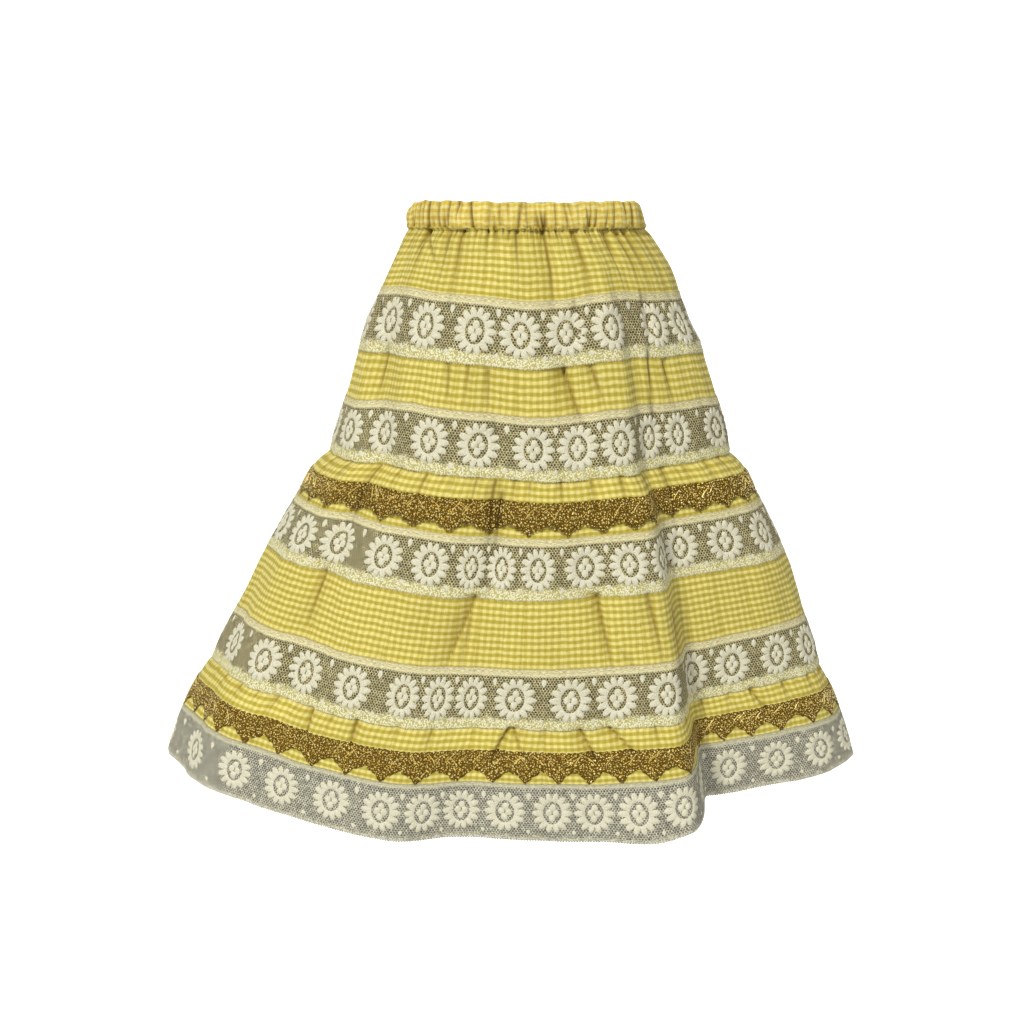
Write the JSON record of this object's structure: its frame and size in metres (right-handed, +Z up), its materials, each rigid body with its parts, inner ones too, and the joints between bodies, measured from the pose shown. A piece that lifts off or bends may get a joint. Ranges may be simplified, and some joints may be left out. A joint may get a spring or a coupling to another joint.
{
  "type": "orisha skirt",
  "caption": "Three-tier gathered gingham skirt with an elastic casing waist, daisy lace bands and scalloped gold trims, filled out and hollow, open at waist and hem.",
  "frame": {"origin": "middle of the waist opening, at the height of the waist's top edge at the sides", "axes": "+Z up out of the waist, +X along the skirt's width to the viewer's right, -Y to the front"},
  "size_m": [0.9392, 0.4206, 0.7647],
  "materials": {
    "gingham": "matt plain-woven cotton in a small yellow and cream check",
    "lace": "soft cream knitted lace, open net with daisies",
    "gold_trim": "antique gold metallic thread, glittering"
  },
  "bodies": {
    "root": {"waistband": "gingham", "tier1_upper_panel": "gingham", "lace_1": "lace", "tier1_lower_panel": "gingham", "lace_2": "lace", "tier2_upper_panel": "gingham", "gold_trim_2": "gold_trim", "lace_3": "lace", "tier2_lower_panel": "gingham", "lace_4": "lace", "tier3_panel": "gingham", "gold_trim_3": "gold_trim", "lace_5": "lace"}
  },
  "joints": []
}
